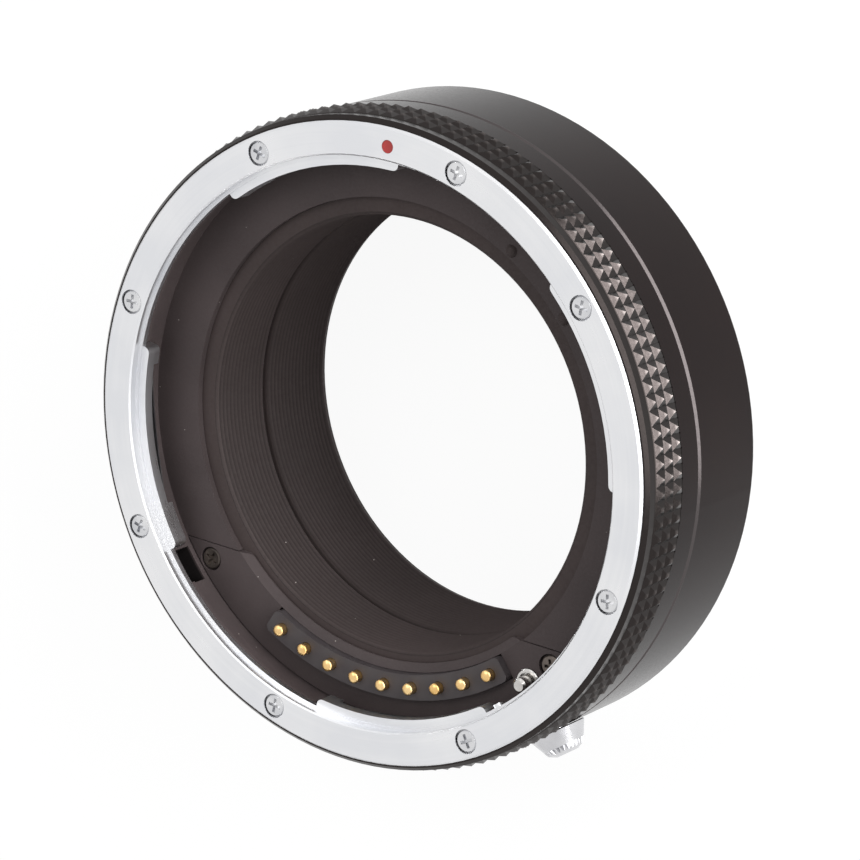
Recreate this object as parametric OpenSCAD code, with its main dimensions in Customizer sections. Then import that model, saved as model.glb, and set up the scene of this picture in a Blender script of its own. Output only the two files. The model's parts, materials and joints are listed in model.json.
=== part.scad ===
// Macro extension tube: a bright bayonet for the lens in front, a bright bayonet for the camera
// at the back, spring contacts that carry the signals through, and a sliding lens release.
// It stands on its rear end. Origin on the axis at the lowest plane, +Z towards the lens.
// Lengths in mm. A depth is measured back from the front face. Angles run from +X towards +Y.

/* [Overall] */
// Distance from the front mount's face to the rear mount's face
flange_gap = 26; // [26:0.5:40]
// Distance that the rear end stands behind the rear mount's face
rear_length = 6.2; // [6:0.1:9]
// Radius of the throat between the front mount's lugs; every other radius follows from it
throat_r = 37.5; // [32:0.1:44]
// Width of the bright mount rings, from the throat outwards
mount_w = 4.8; // [4:0.1:6]
// Thickness of the rim that surrounds each mount ring
rim_wall = 0.85; // [0.8:0.05:2]
// Thickness of the outer barrel and grip sleeve
shell_wall = 1.65; // [1.5:0.05:2]
// Running clearance round a part that slides
slide_gap = 0.05; // [0.03:0.01:0.08]
// Gap left round a part that is fixed in its seat
seat_gap = 0.05; // [0.03:0.01:0.08]

/* [Front mount] */
// Thickness of the front mount's plate
plate_t = 2; // [1.8:0.1:2.4]
// Width of the rebate round the throat
rebate_w = 0.4; // [0.3:0.05:0.5]
// Depth of that rebate
rebate_depth = 1.27; // [1.1:0.01:1.4]
// How far the lugs stand in from the throat
lug_rise = 1.06; // [0.8:0.02:1.2]
// Depth of the lugs' front faces
lug_front = 1.51; // [1.45:0.01:1.6]
// Thickness of the lugs
lug_t = 2.36; // [2.1:0.02:2.4]
// How far the circle of mount screws lies outside the middle of the ring
screw_offset = 0.1; // [0:0.05:0.3]
// Metal left between a mount screw's recess and the ring's edges
screw_wall = 0.75; // [0.5:0.05:1.2]
// Shoulder of a mount screw's head round its shank
screw_shoulder = 0.65; // [0.5:0.05:0.8]
// Length of a mount screw below its head
screw_length = 4.3; // [3.5:0.1:5]
// Diameter of the index dots
dot_d = 1.7; // [1.4:0.1:2]

/* [Grip and barrel] */
// Teeth round the knurl
knurl_teeth = 140; // [120:1:150]
// Rows of teeth
knurl_rows = 3; // [2:1:3]
// Length of one row
knurl_pitch = 2; // [1.8:0.1:2]
// Height of a tooth
knurl_rise = 0.57; // [0.4:0.01:0.6]
// Length of the plain band behind the knurl
band_length = 3.75; // [3:0.05:4.5]
// Depth of the groove between band and barrel
seam_depth = 0.55; // [0.4:0.05:0.7]

/* [Throat floor] */
// Depth of the floor that carries the contacts
floor_depth = 6.64; // [6.5:0.02:6.9]
// Thickness of that floor
floor_t = 2.96; // [2.9:0.02:3.2]
// Depth of the ledge inside the floor, below the floor
ledge_drop = 0.91; // [0.8:0.01:1]
// Thickness of the contact cover
cover_t = 1; // [0.9:0.02:1.1]
// Distance from the cover screws to the cover's straight edge
cover_margin = 2.19; // [1.8:0.01:3]
// How far inside the throat the cover screws stand
cover_screw_inset = 1.15; // [1:0.05:1.5]

/* [Light baffle] */
// Thickness of the light baffle, from the floor's opening to the crests of the ribs
baffle_wall = 2.5; // [2.2:0.1:3]
// Distance between ribs
rib_pitch = 0.8; // [0.7:0.05:1]
// Depth of the furrows between ribs
rib_depth = 0.4; // [0.3:0.05:0.45]
// Length of the front baffle from the ledge to its rear edge
front_baffle_length = 10.65; // [10:0.05:11]
// Gap between the two baffles
baffle_gap = 0.3; // [0.2:0.05:0.5]

/* [Contacts] */
// How far the row of contact pins lies inside the rear collar
contact_inset = 1.7; // [1.5:0.05:2]
// How far it lies outside the floor's opening
contact_setback = 1.7; // [1.5:0.05:2]
// Angle between neighbouring pins
contact_step = 7.5; // [7.2:0.1:7.6]
// Diameter of a contact pin
contact_d = 1.6; // [1.4:0.05:1.7]
// Height of the pins' tips above the throat floor
contact_rise = 2.44; // [2.3:0.02:2.6]
// Travel of a contact pin
contact_travel = 1; // [0.8:0.05:1.1]
// Height of the contact block above the throat floor
block_rise = 1.18; // [1:0.02:1.3]

/* [Lens lock] */
// How far inside the throat the lock pin stands
lock_inset = 1.2; // [1:0.05:1.5]
// Angle of the lock pin
lock_angle = 312.1; // [311.8:0.1:312.4]
// Diameter of the lock pin
lock_d = 2; // [1.8:0.05:2.1]
// Travel of the lock pin and its knob
lock_travel = 2.3; // [2:0.05:2.4]
// Angle of the release knob
knob_angle = 306.7; // [306.4:0.1:307]
// Radius of the knob's wide foot
knob_foot_r = 3.85; // [3.7:0.05:3.95]
// Radius of the knob's end
knob_end_r = 2.4; // [2:0.05:2.8]
// Height of the knob above the barrel
knob_rise = 2.9; // [2.2:0.05:3.4]

/* [Hidden] */
$fn = 180;

chrome = [0.86, 0.86, 0.87];
black_metal = [0.12, 0.12, 0.13];
black_plastic = [0.09, 0.09, 0.09];
gold = [0.85, 0.68, 0.32];
steel = [0.7, 0.7, 0.72];

tube_h = flange_gap + rear_length;
mount_r = throat_r + mount_w;
barrel_r = mount_r + rim_wall;
core_r = barrel_r - shell_wall;
pocket_r = mount_r + seat_gap;
rebate_r = throat_r + rebate_w;
lug_in_r = throat_r - lug_rise;
lug_out_r = throat_r + 0.6;
well_r = throat_r + 0.8;
ring_chamfer = 0.3;
screw_circle_r = (throat_r + mount_r) / 2 + screw_offset;
edge_break = 0.2;
screw_head_h = 0.95;
screw_sink = 0.15;
recess_gap = 0.15;
screw_head_d = mount_w - 2 * screw_wall - 2 * recess_gap;
screw_d = screw_head_d - 2 * screw_shoulder;
recess_depth = screw_sink + screw_head_h;

seat_z = tube_h - plate_t;
lug_top_z = tube_h - lug_front;
lug_low_z = lug_top_z - lug_t;
lip_z = seat_z - 0.6;
floor_z = tube_h - floor_depth;
under_z = floor_z - floor_t;
ledge_z = floor_z - ledge_drop;
baffle_flange_t = 0.6;
baffle_step = 1;
step_z = ledge_z - baffle_flange_t;
spigot_gap = 0.24;
spigot_wall = 1.3;
spigot_out_r = lug_in_r - spigot_gap;
spigot_in_r = spigot_out_r - spigot_wall;
contact_r = spigot_in_r - contact_inset;
floor_hole_r = contact_r - contact_setback;
bore_r = floor_hole_r - baffle_wall;
step_r = floor_hole_r - baffle_step;

// The front mount's lugs, as first and last angle, and its screws' angles.
lens_lugs = [[88.7, 131.7], [173.2, 216.3], [262.7, 305.1], [4.8, 47.5]];
screw_angles = concat([for (i = [0 : 6]) 74.7 + 45 * i], [40.1]);
cross_turns = [0, 45, 15, 45, 10, 0, 20, 45];
dot_angle = 90;
stop_angle = 307.2;
stop_pin_r = 0.65;
stop_pin_z = seat_z - 0.75;
pocket_angles = [216.7, 224.2];
ledge_angles = [243.7, 267.7];
ledge_top_z = tube_h - 5.9;
wall_ledge_w = 0.7;
spring_start = 3.9;
spring_span = 30;
spring_bow = 0.9;
spring_t = 0.2;
notch_h = 0.92;
lug_corner_r = 0.8;

bezel_drop = 0.35;
bezel_r = barrel_r - 0.15;
bezel_chamfer = 0.46;
knurl_start = plate_t + 0.15;
knurl_foot_r = barrel_r - 0.07;
knurl_end = knurl_start + knurl_rows * knurl_pitch;
band_end = knurl_end + band_length;
band_end_z = tube_h - band_end;
seam_w = 0.2;

flange_z = rear_length;
flange_t = 2;
flange_top_z = flange_z + flange_t;
rim_step = 0.35;
web_t = 2.5;
web_z = flange_top_z + web_t;
spigot_low_z = 0.4;
rear_lug_t = 1.8;
rear_lug_r = throat_r - 0.2;
rear_lugs = [[91.7, 128.7], [175.7, 215.7], [265.7, 309.7], [7.7, 44.7]];
rear_dot_angle = 47;
rear_screw_angles = [for (i = [0 : 3]) 65 + 90 * i];
body_screw_angles = [for (i = [0 : 3]) 20 + 90 * i];
body_screw_r = (well_r + core_r) / 2;
body_hole_r = (core_r - well_r) / 2 - 0.1;
body_head_r = body_hole_r - recess_gap;
body_shank_r = body_head_r - 0.45;
rear_face_z = 1.3;
shelf_r = well_r - 0.3;
dot_circle_r = screw_circle_r - 0.2;

pin_count = 9;
lock_r = throat_r - lock_inset;
collar_pin_r = lock_d / 2 + 0.7;
block_margin = 1.67;
block_foot = 0.25;
contact_mid = 275.1;
block_end = 3.85;
block_half = contact_step * (pin_count - 1) / 2 + block_end;
block_corner_r = 0.8;
mid_pin = (pin_count + 1) / 2;
baffle_clear = 0.25;
block_in_r = floor_hole_r - seat_gap;
tube_r = block_in_r - baffle_clear;
block_out_r = contact_r + block_margin;
block_foot_r = block_out_r + block_foot;
block_a0 = contact_mid - block_half;
block_a1 = contact_mid + block_half;
block_z = floor_z + block_rise;
pin_tip_z = floor_z + contact_rise;
collar_t = 0.4;
collar_r = contact_d / 2 + 0.35;
pocket_z = ledge_z + 0.65;
collar_z = pocket_z - collar_t;
board_t = 0.8;
flex_half = 14;
board_z = under_z - board_t;
board_a0 = block_a0 - 3.7;
board_a1 = lock_angle - asin((collar_pin_r + 0.2) / lock_r);
board_out_r = well_r - 1;

lock_tip_z = pin_tip_z;
bush_r = lock_d / 2 + 0.75;
bush_z = floor_z + 0.39;
lock_collar_t = 1.2;
stem_r = 1.1;
carriage_roof = 0.4;
carriage_base = 0.8;
knob_gap = 0.3;
knob_z = min(tube_h - knurl_end - knob_foot_r - knob_gap, under_z - lock_collar_t - carriage_roof - stem_r);
carriage_z = knob_z + stem_r + carriage_roof;
carriage_low_z = knob_z - stem_r - carriage_base;
slot_gap = 0.12;
crown_h = 0.45;
crown_r = 1.5;
cover_z = ledge_z + cover_t;
cover_rim_z = ledge_z + 0.35;
cover_rim_r = floor_hole_r - 1.26;
cover_corner_r = 1.3;
cover_gap = 0.2;
rim_lift = 0.15;
cover_head_r = 1.4;
cover_shank_r = 0.7;
cover_sink = 0.7;
cover_screw_angles = [221.3, 318.7];
cover_screw_r = throat_r - cover_screw_inset;
cover_edge = -cover_screw_r * sin(cover_screw_angles[1]) - cover_margin;
rivet_r = floor_hole_r + 1;
rivet_angles = [41.7, 61.3];
small_screw_r = 0.6;
small_head_r = 1.1;
small_head_h = 0.6;
thread_gap = 0.03;
board_screw_r = board_out_r - small_head_r;
shelf_screw_r = shelf_r - small_head_r;
board_screw_spots = [[board_screw_r, 242], [board_screw_r, 300]];
baffle_screw_spots = [[shelf_screw_r, 5], [shelf_screw_r, 110], [shelf_screw_r, 200]];
block_screw_spots = [[shelf_screw_r, 246], [shelf_screw_r, 304]];
shelf_t = 0.8;
shelf_z = flange_top_z + shelf_t;
rear_block_a0 = block_a0 - 4.5;
rear_block_a1 = lock_angle + 4;

// Puts its children at a radius, an angle and a height.
module spot(r, a, z = 0) {
    rotate([0, 0, a])
        translate([r, 0, z])
            children();
}

// A plain ring.
module ring(r0, r1, z0, z1) {
    rotate_extrude()
        translate([r0, z0])
            square([r1 - r0, z1 - z0]);
}

// Part of a ring, between two angles.
module arc_block(r0, r1, z0, z1, a0, a1) {
    rotate([0, 0, a0])
        rotate_extrude(angle = a1 - a0)
            translate([r0, z0])
                square([r1 - r0, z1 - z0]);
}

// What a round corner takes off a block whose edges run along +X and +Y from the origin.
module corner_waste(c, z0, z1) {
    arc = [for (a = [-105 : -15 : -165]) [c + c * cos(a), c + c * sin(a)]];
    end0 = [2 * c - arc[0][0], -arc[0][1]];
    end1 = [-arc[4][0], 2 * c - arc[4][1]];
    translate([0, 0, z0])
        linear_extrude(height = z1 - z0)
            polygon(concat([[-0.3, -0.3], [end0[0], -0.3], end0], arc, [end1, [-0.3, end1[1]]]));
}

// The same at the inner end corners of an arc block, and at the outer ones.
module inner_corner_waste(r, a0, a1, c, z0, z1) {
    spot(r, a0)
        corner_waste(c, z0, z1);
    spot(r, a1)
        mirror([0, 1, 0])
            corner_waste(c, z0, z1);
}

module outer_corner_waste(r, a0, a1, c, z0, z1) {
    spot(r, a0)
        mirror([1, 0, 0])
            corner_waste(c, z0, z1);
    spot(r, a1)
        rotate([0, 0, 180])
            corner_waste(c, z0, z1);
}

// A cross-head screw whose head rests on z = 0 and whose shank points down.
module cross_screw(head_r, head_h, shank_r, length, turn) {
    slot_l = head_r * 1.27;
    slot_w = head_r * 0.28;
    difference() {
        union() {
            cylinder(r = head_r, h = head_h - 0.15);
            translate([0, 0, head_h - 0.15])
                cylinder(r1 = head_r, r2 = head_r - 0.15, h = 0.15);
            translate([0, 0, -length])
                cylinder(r = shank_r, h = length + 0.1);
        }
        rotate([0, 0, turn])
            translate([0, 0, head_h * 0.35])
                union() {
                    translate([-slot_l / 2, -slot_w / 2, 0])
                        cube([slot_l, slot_w, head_h]);
                    translate([-slot_w / 2, -slot_l / 2, 0])
                        cube([slot_w, slot_l, head_h]);
                }
    }
}

// A square-wire coil spring standing on z = 0.
module coil_spring(r_in, r_out, height, turns) {
    linear_extrude(height = height, twist = -360 * turns, slices = 9 * turns, $fn = 6)
        polygon([for (a = [-55, 0, 55]) r_in * [cos(a), sin(a)], for (a = [55, 0, -55]) r_out * [cos(a), sin(a)]]);
}

// The way that the knob's stem travels, as a radial slot.
module stem_slot(r0, r1) {
    w = stem_r + slot_gap;
    spot(0, knob_angle)
        union() {
            translate([r0, 0, knob_z])
                rotate([0, 90, 0])
                    cylinder(r = w, h = r1 - r0);
            translate([r0, 0, knob_z - lock_travel])
                rotate([0, 90, 0])
                    cylinder(r = w, h = r1 - r0);
            translate([r0, -w, knob_z - lock_travel])
                cube([r1 - r0, 2 * w, lock_travel]);
        }
}

// The cover's plan: all that lies beyond a straight edge, moved out by g.
module cover_plan(g) {
    translate([-2 * barrel_r, -2 * barrel_r])
        square([4 * barrel_r, 2 * barrel_r - cover_edge + g]);
}

// Profile points of a ribbed bore that runs down from one height to another.
function ribs(top, low) = [
    for (i = [0 : floor((top - low) / rib_pitch) - 1])
        for (p = [[bore_r, top - i * rib_pitch], [bore_r + rib_depth, top - (i + 0.5) * rib_pitch]]) p,
    [bore_r, top - floor((top - low) / rib_pitch) * rib_pitch]
];

// One lug with round inner corners and, in its rear face, the notch for its spring.
module lens_lug(a0, a1) {
    difference() {
        arc_block(lug_in_r, lug_out_r, lug_low_z, lug_top_z, a0, a1);
        arc_block(lug_in_r - 1, lug_out_r + 1, lug_low_z - 1, lug_low_z + notch_h,
            a0 + spring_start, a0 + spring_start + spring_span);
        inner_corner_waste(lug_in_r, a0, a1, lug_corner_r, lug_low_z - 1, lug_top_z + 1);
    }
}

module lens_mount_ring() {
    color(chrome)
    difference() {
        union() {
            rotate_extrude()
                polygon([
                    [throat_r, seat_z],
                    [mount_r, seat_z],
                    [mount_r, tube_h - ring_chamfer],
                    [mount_r - ring_chamfer, tube_h],
                    [rebate_r + edge_break, tube_h],
                    [rebate_r, tube_h - edge_break],
                    [rebate_r, tube_h - rebate_depth],
                    [throat_r, tube_h - rebate_depth]
                ]);
            for (lug = lens_lugs)
                lens_lug(lug[0], lug[1]);
            spot(throat_r - 0.5, stop_angle, stop_pin_z)
                rotate([0, 90, 0])
                    cylinder(r = stop_pin_r, h = 1.05, $fn = 48);
            arc_block(throat_r - 0.05, lug_out_r - 0.05, stop_pin_z, seat_z + 0.2,
                stop_angle - 0.9, stop_angle + 0.9);
        }
        for (a = screw_angles)
            spot(screw_circle_r, a) {
                translate([0, 0, tube_h - recess_depth])
                    cylinder(d = screw_head_d + 2 * recess_gap, h = 5);
                translate([0, 0, seat_z - 1])
                    cylinder(d = screw_d + 0.2, h = 5);
            }
        spot(dot_circle_r, dot_angle, tube_h - 0.6)
            cylinder(d = dot_d + 0.04, h = 5);
    }
}

module mount_screws() {
    color(steel)
    for (i = [0 : len(screw_angles) - 1])
        spot(screw_circle_r, screw_angles[i], tube_h - recess_depth)
            cross_screw(screw_head_d / 2, screw_head_h, screw_d / 2, screw_length, cross_turns[i]);
}

module index_dot() {
    color([0.75, 0.12, 0.1])
    spot(dot_circle_r, dot_angle, tube_h - 0.6)
        cylinder(d = dot_d, h = 0.5);
}

// One bowed strip under each lug, its ends against the roof of the notch.
module leaf_springs() {
    roof_z = lug_low_z + notch_h;
    mid_r = (lug_in_r + lug_out_r) / 2;
    chord = 2 * mid_r * sin(spring_span / 2 - 0.8);
    sag = spring_bow;
    start_x = lug_in_r * cos(spring_span / 2) - 1;
    bow_r = (chord * chord / 4 + sag * sag) / (2 * sag);
    color(steel)
    for (lug = lens_lugs)
        rotate([0, 0, lug[0] + spring_start + spring_span / 2])
            intersection() {
                arc_block(lug_in_r + 0.15, lug_out_r - 0.1, roof_z - sag - 1, roof_z,
                    0.8 - spring_span / 2, spring_span / 2 - 0.8);
                translate([start_x, 0, roof_z - sag + bow_r])
                    rotate([0, 90, 0])
                        difference() {
                            cylinder(r = bow_r, h = lug_out_r - start_x + 1);
                            translate([0, 0, -1])
                                cylinder(r = bow_r - spring_t, h = lug_out_r - start_x + 3);
                        }
            }
}

module grip_sleeve() {
    knurl_top_z = tube_h - knurl_start;
    half_turn = 180 / knurl_teeth;
    peak_r = knurl_foot_r + knurl_rise;
    side = peak_r * sin(half_turn) - 0.05;
    color(black_metal)
    difference() {
        rotate_extrude()
            polygon(concat(
                [[core_r, band_end_z], [barrel_r, band_end_z], [barrel_r, tube_h - knurl_end]],
                [for (i = [0 : knurl_rows - 1])
                    for (p = [[knurl_foot_r, tube_h - knurl_end + i * knurl_pitch],
                        [peak_r, tube_h - knurl_end + (i + 0.5) * knurl_pitch]]) p],
                [
                    [knurl_foot_r, knurl_top_z],
                    [bezel_r, knurl_top_z + 0.1],
                    [bezel_r, tube_h - bezel_drop - bezel_chamfer],
                    [bezel_r - bezel_chamfer, tube_h - bezel_drop],
                    [pocket_r, tube_h - bezel_drop],
                    [pocket_r, seat_z],
                    [core_r, seat_z]
                ]));
        for (i = [0 : knurl_teeth - 1])
            rotate([0, 0, 29.8 + i * 360 / knurl_teeth])
                translate([0, 0, tube_h - knurl_end - 0.08])
                    linear_extrude(height = knurl_rows * knurl_pitch + 0.28)
                        polygon([
                            [knurl_foot_r - 0.02, 0],
                            [peak_r - 0.03, side],
                            [peak_r + 0.6, side],
                            [peak_r + 0.6, -side],
                            [peak_r - 0.03, -side]
                        ]);
        stem_slot(core_r - 1, barrel_r + 2);
    }
}

module front_body() {
    color(black_metal)
    difference() {
        union() {
            rotate_extrude()
                polygon([
                    [throat_r, seat_z],
                    [core_r - seat_gap, seat_z],
                    [core_r - seat_gap, web_z],
                    [well_r, web_z],
                    [well_r, under_z],
                    [step_r, under_z],
                    [step_r, step_z],
                    [floor_hole_r, step_z],
                    [floor_hole_r, floor_z],
                    [well_r, floor_z],
                    [well_r, lip_z],
                    [throat_r, lip_z]
                ]);
            arc_block(well_r - wall_ledge_w, well_r + 0.3, cover_z + 0.05, ledge_top_z,
                ledge_angles[0], ledge_angles[1]);
        }
        for (lug = lens_lugs)
            arc_block(throat_r - 1, well_r + 0.02, lip_z - 0.1, seat_z + 1, lug[0] - 1, lug[1] + 1);
        arc_block(throat_r - 1, well_r + 0.03, lip_z - 0.12, seat_z + 1, 305, stop_angle + 2.4);
        arc_block(throat_r - 1, core_r - 0.9, seat_z - 3.8, seat_z + 1, pocket_angles[0], pocket_angles[1]);
        for (a = screw_angles)
            spot(screw_circle_r, a, tube_h - recess_depth - screw_length - 0.3)
                cylinder(d = screw_d + 2 * thread_gap, h = 12);
        intersection() {
            ring(step_r - 1, well_r + 0.01, ledge_z, floor_z + 1);
            translate([0, 0, ledge_z - 1])
                linear_extrude(height = 5)
                    cover_plan(0.12);
        }
        arc_block(step_r - 1, block_foot_r + 0.1, under_z - 1, ledge_z + 1, block_a0 - 0.3, block_a1 + 0.3);
        spot(lock_r, lock_angle, under_z - 1)
            cylinder(r = bush_r, h = 6);
        for (a = cover_screw_angles)
            spot(cover_screw_r, a, under_z + 0.2)
                cylinder(r = cover_shank_r + thread_gap, h = 5);
        for (s = board_screw_spots)
            spot(s[0], s[1], under_z - 1)
                cylinder(r = small_screw_r + thread_gap, h = 2.6);
        for (a = rivet_angles)
            spot(rivet_r, a, floor_z - 1.6)
                cylinder(r = 0.5 + thread_gap, h = 3);
        for (a = body_screw_angles)
            spot(body_screw_r, a, web_z - 1)
                cylinder(r = body_shank_r + thread_gap, h = 6.4);
        stem_slot(well_r - 1, core_r + 1);
    }
}

module barrel() {
    color(black_metal)
    difference() {
        rotate_extrude()
            polygon([
                [core_r, band_end_z],
                [barrel_r - seam_depth, band_end_z],
                [barrel_r - seam_depth, band_end_z - seam_w],
                [barrel_r, band_end_z - seam_w - seam_depth],
                [barrel_r, flange_z + rim_step + 0.3],
                [barrel_r - 0.09, flange_z + rim_step + 0.09],
                [barrel_r - 0.3, flange_z + rim_step],
                [pocket_r, flange_z + rim_step],
                [pocket_r, flange_top_z],
                [well_r, flange_top_z],
                [well_r, web_z],
                [core_r, web_z]
            ]);
        for (a = rear_screw_angles)
            spot(screw_circle_r, a, flange_top_z - 1)
                cylinder(d = screw_d + 2 * thread_gap, h = 3.2);
        for (a = body_screw_angles)
            spot(body_screw_r, a, flange_top_z - 1) {
                cylinder(r = body_shank_r + 0.1, h = 8);
                cylinder(r = body_hole_r, h = 2.1);
            }
        stem_slot(core_r - 1, barrel_r + 2);
    }
}

module front_baffle() {
    low_z = ledge_z - front_baffle_length;
    color(black_plastic)
    rotate_extrude()
        polygon(concat(
            [
                [bore_r + 0.35, ledge_z],
                [floor_hole_r - seat_gap, ledge_z],
                [floor_hole_r - seat_gap, step_z],
                [step_r - 0.1, step_z],
                [step_r - 0.1, low_z],
                [bore_r + rib_depth, low_z]
            ],
            [for (i = [len(ribs(ledge_z - 0.35, low_z + 0.1)) - 1 : -1 : 0]) ribs(ledge_z - 0.35, low_z + 0.1)[i]]
        ));
}

module rear_baffle() {
    top_z = ledge_z - front_baffle_length - baffle_gap;
    color(black_plastic)
    difference() {
        rotate_extrude()
            polygon(concat(
                [
                    [bore_r + rib_depth, top_z],
                    [tube_r, top_z],
                    [tube_r, shelf_z],
                    [shelf_r, shelf_z],
                    [shelf_r, flange_top_z],
                    [tube_r, flange_top_z],
                    [tube_r, rear_face_z + 1],
                    [spigot_in_r - seat_gap, rear_face_z + 1],
                    [spigot_in_r - seat_gap, rear_face_z],
                    [tube_r, rear_face_z],
                    [tube_r, 0.15],
                    [tube_r - 0.15, 0],
                    [bore_r + 0.2, 0]
                ],
                [for (i = [len(ribs(top_z - 0.1, 0.3)) - 1 : -1 : 0]) ribs(top_z - 0.1, 0.3)[i]]
            ));
        arc_block(tube_r, shelf_r + 1, rear_face_z - 0.2, shelf_z + 1, rear_block_a0 - 0.3, rear_block_a1 + 0.3);
        for (s = baffle_screw_spots)
            spot(s[0], s[1], flange_top_z - 1)
                cylinder(r = small_screw_r + 0.1, h = 5);
    }
}

// What the round corner takes off where the cover's inner rim meets its straight edge.
module rim_corner_waste() {
    c = cover_corner_r;
    mid_y = -cover_edge - c;
    mid_x = sqrt((cover_rim_r + c) * (cover_rim_r + c) - mid_y * mid_y);
    touch = cover_rim_r / (cover_rim_r + c);
    translate([0, 0, ledge_z - 1])
        linear_extrude(height = 5)
            difference() {
                polygon([
                    [mid_x, -cover_edge + 0.5],
                    [mid_x * touch - 2, -cover_edge + 0.5],
                    [mid_x * touch - 2, mid_y * touch],
                    [mid_x * touch, mid_y * touch],
                    [mid_x, mid_y]
                ]);
                translate([mid_x, mid_y])
                    circle(r = c, $fn = 48);
            }
}

module contact_cover() {
    color(black_metal)
    difference() {
        intersection() {
            rotate_extrude()
                polygon([
                    [cover_rim_r, ledge_z + rim_lift],
                    [cover_rim_r + 0.3, ledge_z + rim_lift],
                    [cover_rim_r + 0.3, ledge_z],
                    [well_r - cover_gap, ledge_z],
                    [well_r - cover_gap, cover_z],
                    [block_in_r - 0.1, cover_z],
                    [cover_rim_r, cover_rim_z]
                ]);
            translate([0, 0, ledge_z - 1])
                linear_extrude(height = 5)
                    cover_plan(0);
        }
        for (side = [0, 1])
            mirror([side, 0, 0])
                rim_corner_waste();
        arc_block(block_in_r - 0.06, block_out_r + 0.08, ledge_z - 1, cover_z + 1, block_a0 - 0.1, block_a1 + 0.1);
        spot(lock_r, lock_angle, ledge_z - 1)
            cylinder(r = bush_r + 0.05, h = 6);
        for (a = cover_screw_angles)
            spot(cover_screw_r, a) {
                translate([0, 0, cover_z - cover_sink])
                    cylinder(r = cover_head_r + 0.25, h = 3);
                translate([0, 0, ledge_z - 1])
                    cylinder(r = cover_shank_r + 0.1, h = 3);
            }
    }
}

module cover_screws() {
    color(black_plastic)
    for (i = [0, 1])
        spot(cover_screw_r, cover_screw_angles[i], cover_z - cover_sink)
            cross_screw(cover_head_r, 0.6, cover_shank_r, 2.1, 20 + 35 * i);
}

module floor_rivets() {
    color(black_plastic)
    for (a = rivet_angles)
        spot(rivet_r, a, floor_z) {
            intersection() {
                translate([0, 0, -0.47])
                    sphere(r = 0.97);
                cylinder(r = 0.85, h = 2);
            }
            translate([0, 0, -1.4])
                cylinder(r = 0.5, h = 1.5);
        }
}

module contact_block() {
    color(black_plastic)
    difference() {
        union() {
            arc_block(block_in_r, block_out_r, ledge_z - 0.3, block_z, block_a0, block_a1);
            arc_block(block_in_r + 0.04, block_foot_r, under_z, ledge_z, block_a0 + 0.08, block_a1 - 0.08);
        }
        inner_corner_waste(block_in_r, block_a0, block_a1, block_corner_r, ledge_z + 0.01, block_z + 1);
        outer_corner_waste(block_out_r, block_a0, block_a1, block_corner_r, ledge_z + 0.01, block_z + 1);
        for (i = [1 : pin_count])
            spot(contact_r, contact_mid + (i - mid_pin) * contact_step) {
                translate([0, 0, under_z - 1])
                    cylinder(r = contact_d / 2 + slide_gap, h = 12);
                translate([0, 0, under_z - 1])
                    cylinder(r = collar_r + 0.1, h = pocket_z - under_z + 1);
            }
    }
}

// Contact pin number i, counted by angle.
module contact_pin(i) {
    r = contact_d / 2;
    color(gold)
    spot(contact_r, contact_mid + (i - mid_pin) * contact_step)
        rotate_extrude()
            polygon(concat(
                [
                    [0, collar_z - 0.7],
                    [0.45, collar_z - 0.7],
                    [0.45, collar_z],
                    [collar_r, collar_z],
                    [collar_r, pocket_z],
                    [r, pocket_z]
                ],
                [for (a = [0 : 15 : 90]) [r * cos(a), pin_tip_z - 0.5 * r + 0.5 * r * sin(a)]]
            ));
}

// The spring under contact pin number i.
module contact_spring(i) {
    color(steel)
    spot(contact_r, contact_mid + (i - mid_pin) * contact_step, under_z)
        coil_spring(0.6, 0.95, collar_z - under_z, 4);
}

module contact_board() {
    color([0.1, 0.3, 0.18])
    difference() {
        arc_block(step_r + 0.4, board_out_r, board_z, under_z, board_a0, board_a1);
        for (s = board_screw_spots)
            spot(s[0], s[1], board_z - 1)
                cylinder(r = small_screw_r + 0.1, h = 4);
    }
}

module lock_pin() {
    r = lock_d / 2;
    color(steel)
    spot(lock_r, lock_angle)
        rotate_extrude()
            polygon([
                [0, carriage_low_z - 0.8],
                [r, carriage_low_z - 0.8],
                [r, carriage_z],
                [collar_pin_r, carriage_z],
                [collar_pin_r, under_z],
                [r, under_z],
                [r, lock_tip_z - 0.3],
                [r - 0.3, lock_tip_z],
                [0, lock_tip_z]
            ]);
}

module lock_pin_bush() {
    r = lock_d / 2 + slide_gap;
    color(chrome)
    spot(lock_r, lock_angle)
        rotate_extrude()
            polygon([
                [r, under_z],
                [bush_r, under_z],
                [bush_r, bush_z - 0.15],
                [bush_r - 0.15, bush_z],
                [r + 0.25, bush_z],
                [r + 0.25, bush_z - 0.6],
                [r, bush_z - 0.6]
            ]);
}

// Carries the knob's movement to the lock pin.
module lock_carriage() {
    color(steel)
    difference() {
        arc_block(lock_r - collar_pin_r, well_r - 0.4, carriage_low_z, carriage_z,
            knob_angle - 2.9, lock_angle + 2.9);
        spot(lock_r, lock_angle, carriage_low_z - 1)
            cylinder(d = lock_d, h = 8);
        spot(0, knob_angle, knob_z)
            rotate([0, 90, 0])
                cylinder(r = stem_r, h = barrel_r);
    }
}

module lock_spring() {
    color(steel)
    spot(lock_r, lock_angle, shelf_z + 0.2)
        coil_spring(lock_d / 2 + 0.15, lock_d / 2 + 0.6, carriage_low_z - shelf_z - 0.2, 6);
}

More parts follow.
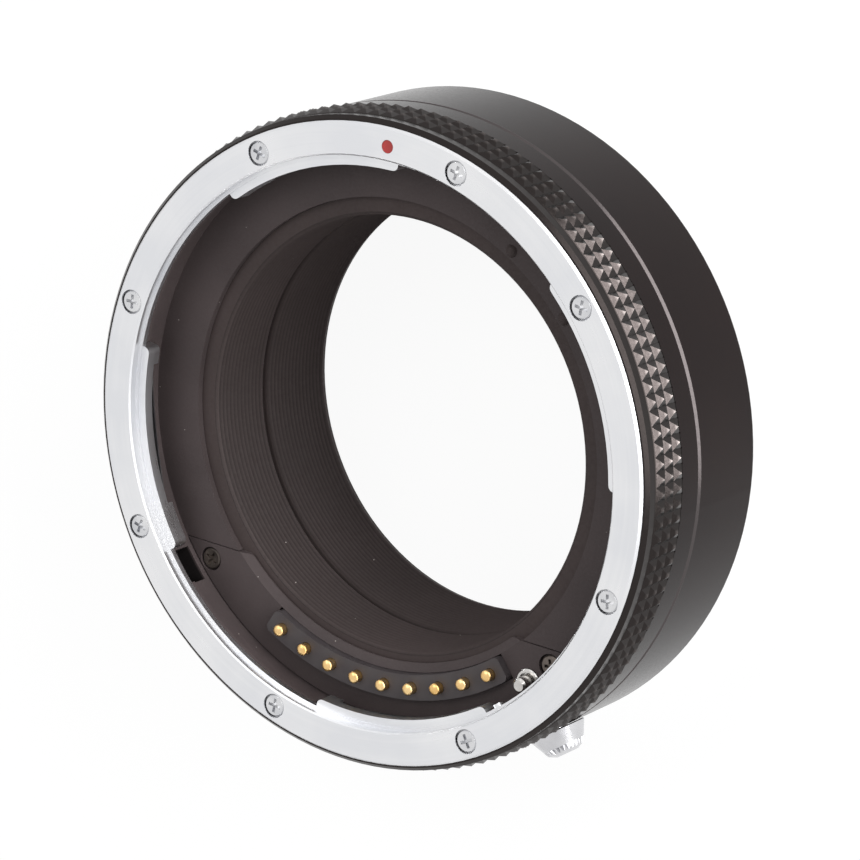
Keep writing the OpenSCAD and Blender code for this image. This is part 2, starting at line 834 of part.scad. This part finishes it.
module release_knob() {
    foot = barrel_r + seat_gap;
    color(chrome)
    spot(0, knob_angle, knob_z)
        rotate([0, 90, 0])
            difference() {
                rotate_extrude()
                    polygon([
                        [0, lock_r - 1],
                        [stem_r, lock_r - 1],
                        [stem_r, foot],
                        [knob_foot_r - 0.15, foot],
                        [knob_foot_r, foot + 0.15],
                        [knob_end_r + 0.15, foot + knob_rise - 0.15],
                        [knob_end_r, foot + knob_rise],
                        [crown_r, foot + knob_rise + crown_h],
                        [0, foot + knob_rise + crown_h]
                    ]);
                for (i = [0 : 23])
                    rotate([0, 0, i * 15])
                        translate([knob_end_r - 0.1, 0, foot + knob_rise - 0.7])
                            linear_extrude(height = 2)
                                polygon([[0, 0], [1.5, 1], [1.5, -1]]);
            }
}

module rear_mount() {
    color(chrome)
    difference() {
        union() {
            rotate_extrude()
                polygon([
                    [spigot_in_r, spigot_low_z],
                    [spigot_out_r, spigot_low_z],
                    [spigot_out_r, flange_z],
                    [mount_r - 0.3, flange_z],
                    [mount_r, flange_z + 0.3],
                    [mount_r, flange_top_z],
                    [spigot_in_r, flange_top_z]
                ]);
            for (lug = rear_lugs)
                arc_block(spigot_in_r + 0.5, rear_lug_r, spigot_low_z, spigot_low_z + rear_lug_t, lug[0], lug[1]);
        }
        for (a = rear_screw_angles)
            spot(screw_circle_r, a, flange_z - 1) {
                cylinder(d = screw_head_d + 2 * recess_gap, h = 1 + recess_depth);
                cylinder(d = screw_d + 0.2, h = 6);
            }
        spot(dot_circle_r, rear_dot_angle, flange_z - 1)
            cylinder(d = dot_d + 0.04, h = 1.6);
        for (s = concat(baffle_screw_spots, block_screw_spots))
            spot(s[0], s[1], flange_top_z - 1.6)
                cylinder(r = small_screw_r + thread_gap, h = 3);
    }
}

module rear_mount_screws() {
    color(steel)
    for (i = [0 : 3])
        spot(screw_circle_r, rear_screw_angles[i], flange_z + recess_depth)
            rotate([180, 0, 0])
                cross_screw(screw_head_d / 2, screw_head_h, screw_d / 2, flange_t - recess_depth + 2, 25 * i);
}

module rear_index_dot() {
    color([0.75, 0.12, 0.1])
    spot(dot_circle_r, rear_dot_angle, flange_z + 0.1)
        cylinder(d = dot_d, h = 0.5);
}

module rear_contact_block() {
    color(black_plastic)
    difference() {
        union() {
            arc_block(block_in_r - 0.15, spigot_in_r - seat_gap, rear_face_z, shelf_z, block_a0, block_a1);
            arc_block(block_in_r - 0.1, shelf_r, flange_top_z, shelf_z + 0.2, rear_block_a0, rear_block_a1);
        }
        for (i = [1 : pin_count])
            spot(contact_r, contact_mid + (i - mid_pin) * contact_step, rear_face_z - 1)
                cylinder(d = contact_d + 0.04, h = 12);
        for (s = block_screw_spots)
            spot(s[0], s[1], flange_top_z - 1)
                cylinder(r = small_screw_r + 0.1, h = 5);
    }
}

module rear_contact_pads() {
    color(gold)
    for (i = [1 : pin_count])
        spot(contact_r, contact_mid + (i - mid_pin) * contact_step, rear_face_z - 0.15)
            cylinder(d = contact_d, h = shelf_z + 0.2 - rear_face_z + 0.15);
}

module flex_circuit() {
    low = shelf_z + 0.2;
    color([0.75, 0.45, 0.15])
    rotate([0, 0, contact_mid - flex_half])
        rotate_extrude(angle = 2 * flex_half)
            polygon([
                [contact_r - 1.2, low],
                [contact_r + 0.8, low],
                [contact_r + 0.8, low + 0.2],
                [contact_r - 1, low + 0.2],
                [contact_r - 1, board_z - 0.2],
                [contact_r + 0.8, board_z - 0.2],
                [contact_r + 0.8, board_z],
                [contact_r - 1.2, board_z]
            ]);
}

// The small screws that hold the contact board, the rear baffle and the rear contact block.
module inner_screws() {
    color(steel)
    union() {
        for (s = board_screw_spots)
            spot(s[0], s[1], board_z)
                rotate([180, 0, 0])
                    cross_screw(small_head_r, small_head_h, small_screw_r, board_t + 1.4, 0);
        for (s = baffle_screw_spots)
            spot(s[0], s[1], shelf_z)
                cross_screw(small_head_r, small_head_h, small_screw_r, shelf_t + 1.4, 0);
        for (s = block_screw_spots)
            spot(s[0], s[1], shelf_z + 0.2)
                cross_screw(small_head_r, small_head_h, small_screw_r, shelf_t + 1.4, 0);
    }
}

// The screws that pull the barrel onto the front body, under the rear mount.
module body_screws() {
    color(steel)
    for (a = body_screw_angles)
        spot(body_screw_r, a, flange_top_z + 1.1)
            rotate([180, 0, 0])
                cross_screw(body_head_r, 0.9, body_shank_r, web_t + 3.5, 0);
}

lens_mount_ring();
mount_screws();
index_dot();
leaf_springs();
grip_sleeve();
front_body();
barrel();
front_baffle();
rear_baffle();
contact_cover();
cover_screws();
floor_rivets();
contact_block();
for (i = [1 : pin_count]) contact_pin(i);
for (i = [1 : pin_count]) contact_spring(i);
contact_board();
lock_pin();
lock_pin_bush();
lock_carriage();
lock_spring();
release_knob();
rear_mount();
rear_mount_screws();
rear_index_dot();
rear_contact_block();
rear_contact_pads();
flex_circuit();
inner_screws();
body_screws();
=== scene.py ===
import json
import math

import bmesh
import bpy
from mathutils import Matrix, Vector

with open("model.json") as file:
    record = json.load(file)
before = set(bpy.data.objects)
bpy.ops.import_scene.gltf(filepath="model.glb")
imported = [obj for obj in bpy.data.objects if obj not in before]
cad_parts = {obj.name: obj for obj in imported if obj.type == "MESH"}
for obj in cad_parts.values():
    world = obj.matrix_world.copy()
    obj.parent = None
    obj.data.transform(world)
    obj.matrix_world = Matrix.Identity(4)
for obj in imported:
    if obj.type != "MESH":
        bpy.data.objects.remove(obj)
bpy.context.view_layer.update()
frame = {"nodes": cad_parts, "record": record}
cadNodes = frame["nodes"]
mm = 0.001


def linearColour(hexCode):
    parts = [int(hexCode[i:i + 2], 16) / 255 for i in (1, 3, 5)]
    parts = [c / 12.92 if c <= 0.04045 else ((c + 0.055) / 1.055) ** 2.4 for c in parts]
    return (*parts, 1.0)


def addNode(tree, kind, settings=None, inputs=None):
    node = tree.nodes.new("ShaderNode" + kind)
    for name, value in (settings or {}).items():
        setattr(node, name, value)
    for key, value in (inputs or {}).items():
        if isinstance(value, bpy.types.Node):
            value = next(s for s in value.outputs if s.enabled)
        if isinstance(value, bpy.types.NodeSocket):
            tree.links.new(value, node.inputs[key])
        else:
            node.inputs[key].default_value = value
    return node


# The camera stands where the picture was taken from. Angles in degrees, about the tube's axis.
cameraPlace = {
    "azimuth": 29.732,
    "tilt": 37.011,
    "roll": -109.426,
    "distance": 574.42 * mm,
    "targetHeight": 32.2 * mm,
    "shiftRight": 8.731 * mm,
    "shiftUp": 2.252 * mm,
    "lens": 187.46,
}


def directionTo(azimuth, tilt):
    a, t = math.radians(azimuth), math.radians(tilt)
    return Vector((math.sin(t) * math.cos(a), math.sin(t) * math.sin(a), math.cos(t)))


def placeCamera(place):
    back = directionTo(place["azimuth"], place["tilt"])
    level = (-back).cross(Vector((0, 0, 1))).normalized()
    upright = level.cross(-back)
    roll = math.radians(place["roll"])
    camRight = math.cos(roll) * level + math.sin(roll) * upright
    camUp = -math.sin(roll) * level + math.cos(roll) * upright
    data = bpy.data.cameras.new("photoCamera")
    data.lens = place["lens"]
    data.sensor_width = 36
    data.clip_start, data.clip_end = 0.01, 20
    camera = bpy.data.objects.new("photoCamera", data)
    bpy.context.scene.collection.objects.link(camera)
    at = Vector((0, 0, place["targetHeight"])) + back * place["distance"]
    at += place["shiftRight"] * camRight + place["shiftUp"] * camUp
    turn = Matrix((camRight, camUp, back)).transposed()
    camera.matrix_world = Matrix.Translation(at) @ turn.to_4x4()
    bpy.context.scene.camera = camera


placeCamera(cameraPlace)
bpy.context.scene.view_settings.view_transform = "Standard"
print("camera placed")

# A small product studio: where each soft box hangs, seen from the tube, its size in metres and watts.
softBoxes = {
    "frontBox": {"azimuth": 30, "tilt": 71, "reach": 1.1, "size": (1.7, 0.7), "power": 15.0},
    "edgeStrip": {"azimuth": 30, "tilt": 84, "reach": 1.1, "size": (1.7, 0.14), "power": 9.0},
    "topBox": {"azimuth": 120, "tilt": 38, "reach": 1.2, "size": (0.9, 0.9), "power": 4.0},
}
# Diffuse light from the pale room, and how the white card under the tube looks.
studio = {"roomFill": 0.36, "cardGlow": 0.92, "cardShade": 0.12, "cardWhite": "#EDEDED", "cardSpan": 3.0}


def addSeenShare(tree):
    # 1 for the eye, for mirrors and for glass; 0 for the light that falls on the tube
    path = addNode(tree, "LightPath")
    share = path.outputs["Is Camera Ray"]
    for ray in ("Is Glossy Ray", "Is Transmission Ray"):
        share = addNode(tree, "Math", {"operation": "MAXIMUM"}, {0: share, 1: path.outputs[ray]})
    return share


def buildStudio():
    for name, box in softBoxes.items():
        data = bpy.data.lights.new(name, "AREA")
        data.shape = "RECTANGLE"
        data.size, data.size_y = box["size"]
        data.energy = box["power"]
        lamp = bpy.data.objects.new(name, data)
        bpy.context.scene.collection.objects.link(lamp)
        back = directionTo(box["azimuth"], box["tilt"])
        lamp.location = back * box["reach"]
        lamp.rotation_mode = "QUATERNION"
        lamp.rotation_quaternion = back.to_track_quat("Z", "Y")

    world = bpy.data.worlds.new("paleRoom")
    bpy.context.scene.world = world
    world.use_nodes = True
    tree = world.node_tree
    tree.nodes.clear()
    level = addNode(tree, "MapRange", None,
                    {"Value": addSeenShare(tree), "To Min": studio["roomFill"], "To Max": 1.0})
    room = addNode(tree, "Background", None, {"Color": (1, 1, 1, 1), "Strength": level})
    addNode(tree, "OutputWorld", None, {"Surface": room})

    mesh = bpy.data.meshes.new("whiteCard")
    form = bmesh.new()
    bmesh.ops.create_grid(form, x_segments=8, y_segments=8, size=studio["cardSpan"])
    bmesh.ops.translate(form, verts=form.verts, vec=(0, 0, -0.05 * mm))
    form.to_mesh(mesh)
    form.free()
    floor = bpy.data.objects.new("whiteCard", mesh)
    bpy.context.scene.collection.objects.link(floor)

    # white card, pressed smooth: it glows for the eye and for mirrors, and still takes the shadow
    card = bpy.data.materials.new("pressedWhiteCard")
    card.use_nodes = True
    tree = card.node_tree
    tree.nodes.clear()
    plain = addNode(tree, "BsdfDiffuse", None, {"Color": linearColour(studio["cardWhite"])})
    shade = studio["cardShade"]
    shaded = addNode(tree, "BsdfDiffuse", None, {"Color": (shade, shade, shade, 1)})
    glow = addNode(tree, "Emission", None, {"Color": (1, 1, 1, 1), "Strength": studio["cardGlow"]})
    seen = addNode(tree, "AddShader", None, {0: shaded, 1: glow})
    both = addNode(tree, "MixShader", None, {0: addSeenShare(tree), 1: plain, 2: seen})
    addNode(tree, "OutputMaterial", None, {"Surface": both})
    mesh.materials.append(card)


buildStudio()
print("studio lit")


def newFinish(name, values):
    finish = bpy.data.materials.new(name)
    finish.use_nodes = True
    tree = finish.node_tree
    tree.nodes.clear()
    shader = addNode(tree, "BsdfPrincipled", None, values)
    addNode(tree, "OutputMaterial", None, {"Surface": shader})
    place = addNode(tree, "TexCoord").outputs["Object"]
    return finish, tree, shader, place


def addLumps(tree, place, size, detail=2.0):
    # noise whose lumps are about size metres across, spread to 0..1
    noise = addNode(tree, "TexNoise", None, {"Vector": place, "Scale": 0.5 / size, "Detail": detail})
    return addNode(tree, "MapRange", None, {"Value": noise, "From Min": 0.3, "From Max": 0.7})


def addRadius(tree, place):
    flat = addNode(tree, "VectorMath", {"operation": "MULTIPLY"}, {0: place, 1: (1, 1, 0)})
    return addNode(tree, "VectorMath", {"operation": "LENGTH"}, {0: flat}).outputs["Value"]


# Satin chrome on brass, turned and then plated: a bright, soft grey mirror with rings so faint that
# they only stretch the highlights, and a few hair scratches where lenses have rubbed.
chromeLook = {"light": "#E8E8E9", "dull": "#D9DADD", "roughLow": 0.24, "roughHigh": 0.36,
              "ringPitch": 0.3 * mm,  # real turning marks are 0.05 mm; drawn coarser so that they show
              "cloud": 6 * mm, "streak": 0.3 * mm}


def turnedSatinChrome(look):
    finish, tree, shader, place = newFinish("turnedSatinChrome", {"Metallic": 1.0})
    clouds = addLumps(tree, place, look["cloud"], 3)
    radius = addRadius(tree, place)
    height = addNode(tree, "SeparateXYZ", None, {0: place}).outputs["Z"]
    turned = addNode(tree, "CombineXYZ", None, {0: radius, 1: height})
    turned = addNode(tree, "VectorMath", {"operation": "MULTIPLY_ADD"}, {0: place, 1: (0.03, 0.03, 0), 2: turned})
    streaks = addLumps(tree, turned, look["streak"], 2)
    mixed = addNode(tree, "Math", {"operation": "MULTIPLY_ADD"}, {0: streaks, 1: 0.3, 2: clouds})
    colour = addNode(tree, "Mix", {"data_type": "RGBA"},
                     {0: mixed, 6: linearColour(look["light"]), 7: linearColour(look["dull"])})
    tree.links.new(colour.outputs[2], shader.inputs["Base Color"])
    rings = addNode(tree, "Math", {"operation": "MULTIPLY"}, {0: radius, 1: 2 * math.pi / look["ringPitch"]})
    rings = addNode(tree, "Math", {"operation": "SINE"}, {0: rings})
    stretched = addNode(tree, "Mapping", None, {"Vector": place, "Scale": (1, 0.06, 1), "Rotation": (0, 0, 0.7)})
    hairs = addNode(tree, "TexNoise", None, {"Vector": stretched, "Scale": 0.5 / (0.1 * mm), "Detail": 2.0})
    hairs = addNode(tree, "MapRange", None, {"Value": hairs, "From Min": 0.66, "From Max": 0.74})
    rough = addNode(tree, "MapRange", None, {"Value": mixed, "To Min": look["roughLow"], "To Max": look["roughHigh"]})
    rough = addNode(tree, "Math", {"operation": "MULTIPLY_ADD"}, {0: hairs, 1: 0.1, 2: rough})
    tree.links.new(rough.outputs[0], shader.inputs["Roughness"])
    bump = addNode(tree, "Bump", None, {"Strength": 0.03, "Distance": 0.01 * mm, "Height": rings})
    tree.links.new(bump.outputs[0], shader.inputs["Normal"])
    return finish


# Black anodised aluminium, turned and bead blasted: a deep satin black with a fine tooth. Hands have
# burnished the knurl and the rim to a dark gleam. A thin bright line at the seam is a painted highlight.
anodisedLook = {"black": "#0B0202", "rubbed": "#120706", "roughLow": 0.16, "roughHigh": 0.24,
                "tooth": 0.16 * mm,  # blast grit is 0.1 mm; a little coarser so that it shows
                "gleam": "#322E2D", "peak": "#6A6462", "gleamFrom": 23.95 * mm, "gleamTo": 24.1 * mm,
                "wearFrom": 43.4 * mm, "wearTo": 43.64 * mm,
                # the seam colour is a painted highlight along the seam's chamfer, laid on a metallic band
                "seamHighlight": "#565151", "seamHeight": 19.83 * mm, "seamWidth": 0.3 * mm}


def blastedBlackAnodised(look):
    finish, tree, shader, place = newFinish("blastedBlackAnodised", {"Specular IOR Level": 0.12})
    clouds = addLumps(tree, place, 9 * mm, 3)
    tooth = addLumps(tree, place, look["tooth"], 2)
    patch = addLumps(tree, place, 2.5 * mm, 4)
    shade = addNode(tree, "Mix", {"data_type": "RGBA"},
                    {0: clouds, 6: linearColour(look["black"]), 7: linearColour(look["rubbed"])})
    peaks = addNode(tree, "MapRange", None,
                    {"Value": addRadius(tree, place), "From Min": look["wearFrom"], "From Max": look["wearTo"]})
    peaks = addNode(tree, "Math", {"operation": "MULTIPLY"}, {0: peaks, 1: patch})
    gleam = addNode(tree, "Mix", {"data_type": "RGBA"},
                    {0: peaks, 6: linearColour(look["gleam"]), 7: linearColour(look["peak"])})
    height = addNode(tree, "SeparateXYZ", None, {0: place}).outputs["Z"]
    handled = addNode(tree, "MapRange", None,
                      {"Value": height, "From Min": look["gleamFrom"], "From Max": look["gleamTo"]})
    shade = addNode(tree, "Mix", {"data_type": "RGBA"}, {0: handled, 6: shade, 7: gleam})
    # painted highlight: a thin bright metallic band where the seam's chamfer catches the light
    seamHighlightBand = addNode(tree, "Math", {"operation": "COMPARE"},
                   {0: height, 1: look["seamHeight"], 2: look["seamWidth"]})
    colour = addNode(tree, "Mix", {"data_type": "RGBA"}, {0: seamHighlightBand, 6: shade, 7: linearColour(look["seamHighlight"])})
    tree.links.new(colour.outputs[2], shader.inputs["Base Color"])
    bare = addNode(tree, "Math", {"operation": "MAXIMUM"}, {0: handled, 1: seamHighlightBand})
    tree.links.new(bare.outputs[0], shader.inputs["Metallic"])
    rough = addNode(tree, "MapRange", None,
                    {"Value": tooth, "To Min": look["roughLow"], "To Max": look["roughHigh"]})
    tree.links.new(rough.outputs[0], shader.inputs["Roughness"])
    bump = addNode(tree, "Bump", None, {"Strength": 0.06, "Distance": 0.02 * mm, "Height": tooth})
    tree.links.new(bump.outputs[0], shader.inputs["Normal"])
    return finish


# Matt black paint, sprayed inside the throat: brownish black that swallows light, with a sandy tooth
# and the odd pale speck of dust. Painted shade makes it darkest in the rib furrows and in the recess behind the wall.
throatLook = {"dark": "#3F3737", "pale": "#4C4343", "paintedShade": "#161212", "dust": "#A79F9A", "rough": 0.62,
              "tooth": 0.2 * mm, "dustStep": 2.4 * mm, "dustSize": 0.08 * mm,
              "shadeFrom": 38.4 * mm, "shadeTo": 38.7 * mm, "shadeEnd": 50 * mm}
# the rib finish: its darker band by radius is painted shade in the rib furrows
ribLook = {"dark": "#3C3332", "pale": "#443A39", "paintedShade": "#322A29", "dust": "#A79F9A", "rough": 0.66,
           "tooth": 0.25 * mm, "dustStep": 3 * mm, "dustSize": 0.08 * mm,
           "shadeFrom": 29.1 * mm, "shadeTo": 29.35 * mm, "shadeEnd": 29.43 * mm}


def sprayedMattBlack(name, look):
    finish, tree, shader, place = newFinish(name, {"Specular IOR Level": 0.3})
    clouds = addLumps(tree, place, 7 * mm, 3)
    tooth = addLumps(tree, place, look["tooth"], 3)
    shade = addNode(tree, "Mix", {"data_type": "RGBA"},
                    {0: clouds, 6: linearColour(look["dark"]), 7: linearColour(look["pale"])})
    radius = addRadius(tree, place)
    # painted shade: a darker colour chosen by radius, for the recess behind the wall and the rib furrows
    paintedShade = addNode(tree, "MapRange", None,
                   {"Value": radius, "From Min": look["shadeFrom"], "From Max": look["shadeTo"]})
    inside = addNode(tree, "Math", {"operation": "LESS_THAN"}, {0: radius, 1: look["shadeEnd"]})
    paintedShade = addNode(tree, "Math", {"operation": "MULTIPLY"}, {0: paintedShade, 1: inside})
    shade = addNode(tree, "Mix", {"data_type": "RGBA"}, {0: paintedShade, 6: shade, 7: linearColour(look["paintedShade"])})
    motes = addNode(tree, "TexVoronoi", None, {"Vector": place, "Scale": 1 / look["dustStep"]})
    near = addNode(tree, "Math", {"operation": "LESS_THAN"},
                   {0: motes.outputs["Distance"], 1: look["dustSize"] / look["dustStep"]})
    colour = addNode(tree, "Mix", {"data_type": "RGBA"}, {0: near, 6: shade, 7: linearColour(look["dust"])})
    tree.links.new(colour.outputs[2], shader.inputs["Base Color"])
    rough = addNode(tree, "MapRange", None,
                    {"Value": tooth, "To Min": look["rough"] - 0.06, "To Max": look["rough"] + 0.08})
    tree.links.new(rough.outputs[0], shader.inputs["Roughness"])
    bump = addNode(tree, "Bump", None, {"Strength": 0.2, "Distance": 0.03 * mm, "Height": tooth})
    tree.links.new(bump.outputs[0], shader.inputs["Normal"])
    return finish


# Small hard parts. Each row: what it is, how its surface was made, and what that gives the eye.
smallLooks = {
    # glass-filled nylon, moulded: dull charcoal with a faint grain
    "mouldedBlackNylon": {"first": "#3A3436", "second": "#443F40", "metal": 0, "rough": (0.5, 0.62),
                          "grain": 0.3 * mm, "bump": 0.15},
    # blackened steel, oil quenched: dark, a little shinier than the paint round it
    "oiledBlackSteel": {"first": "#453E3A", "second": "#7A7069", "metal": 0.7, "rough": (0.3, 0.42),
                        "grain": 0.3 * mm, "bump": 0.08},
    # gold, plated on brass: warm mirror, softened by wiping
    "wipedGoldPlate": {"first": "#EFD09A", "second": "#DDB06A", "metal": 1, "rough": (0.24, 0.36),
                       "grain": 0.4 * mm, "bump": 0.05},
    # stainless steel, ground and polished: bright grey with fine hairlines
    "groundSteel": {"first": "#D5D3D0", "second": "#B9B6B3", "metal": 1, "rough": (0.2, 0.32),
                    "grain": 0.25 * mm, "bump": 0.08},
    # zinc plate on steel, barrel plated: bright with a slightly milky bloom
    "barrelPlatedZinc": {"first": "#DEDEDF", "second": "#C4C5C8", "metal": 1, "rough": (0.22, 0.34),
                         "grain": 0.35 * mm, "bump": 0.08},
    # spring steel, cold rolled: mid grey with long rolling marks
    "rolledSpringSteel": {"first": "#A9A9AA", "second": "#8C8C8F", "metal": 1, "rough": (0.28, 0.4),
                          "grain": 0.3 * mm, "bump": 0.1},
    # nickel, plated on turned brass: nearly white, mirror-like with soft streaks
    "brightNickelPlate": {"first": "#D6D6D8", "second": "#BDBDC0", "metal": 1, "rough": (0.2, 0.3),
                          "grain": 0.5 * mm, "bump": 0.05},
    # enamel, dropped in and baked: glossy red that pools in its dish
    "bakedRedEnamel": {"first": "#BC3A36", "second": "#A82E2B", "metal": 0, "rough": (0.12, 0.2),
                       "grain": 0.5 * mm, "bump": 0.06},
    # glass-fibre board under green lacquer: the weave just shows
    "lacqueredGlassBoard": {"first": "#1C5A38", "second": "#15482C", "metal": 0, "rough": (0.25, 0.35),
                            "grain": 0.5 * mm, "bump": 0.12},
    # polyimide film, cast: clear amber with a sheen
    "castAmberFilm": {"first": "#B8752A", "second": "#9D5F1E", "metal": 0, "rough": (0.22, 0.32),
                      "grain": 0.8 * mm, "bump": 0.05},
}


def smallFinish(name, look):
    finish, tree, shader, place = newFinish(name, {"Metallic": look["metal"]})
    clouds = addLumps(tree, place, 4 * look["grain"], 3)
    fine = addLumps(tree, place, look["grain"], 3)
    colour = addNode(tree, "Mix", {"data_type": "RGBA"},
                     {0: clouds, 6: linearColour(look["first"]), 7: linearColour(look["second"])})
    tree.links.new(colour.outputs[2], shader.inputs["Base Color"])
    low, high = look["rough"]
    rough = addNode(tree, "MapRange", None, {"Value": fine, "To Min": low, "To Max": high})
    tree.links.new(rough.outputs[0], shader.inputs["Roughness"])
    bump = addNode(tree, "Bump", None, {"Strength": look["bump"], "Distance": 0.02 * mm, "Height": fine})
    tree.links.new(bump.outputs[0], shader.inputs["Normal"])
    return finish


finishes = {name: smallFinish(name, look) for name, look in smallLooks.items()}
finishes["turnedSatinChrome"] = turnedSatinChrome(chromeLook)
finishes["blastedBlackAnodised"] = blastedBlackAnodised(anodisedLook)
finishes["sprayedThroatBlack"] = sprayedMattBlack("sprayedThroatBlack", throatLook)
finishes["sprayedRibBlack"] = sprayedMattBlack("sprayedRibBlack", ribLook)

# Which finish each of the record's slots wears.
slotFinish = {
    "mount_chrome": "turnedSatinChrome",
    "screw_steel": "barrelPlatedZinc",
    "red_enamel": "bakedRedEnamel",
    "spring_steel": "rolledSpringSteel",
    "black_anodised": "blastedBlackAnodised",
    "throat_black": "sprayedThroatBlack",
    "matt_black": "sprayedRibBlack",
    "black_screw": "oiledBlackSteel",
    "block_black": "mouldedBlackNylon",
    "gold_plate": "wipedGoldPlate",
    "board_green": "lacqueredGlassBoard",
    "bright_steel": "groundSteel",
    "knob_nickel": "brightNickelPlate",
    "flex_amber": "castAmberFilm",
}
slotOf = {row["node"]: row["material_slot"] for row in frame["record"]["subparts"]}
for name, node in cadNodes.items():
    for place in node.material_slots:
        place.material = finishes[slotFinish[slotOf[name]]]
print("finishes on", len(cadNodes), "CAD nodes")
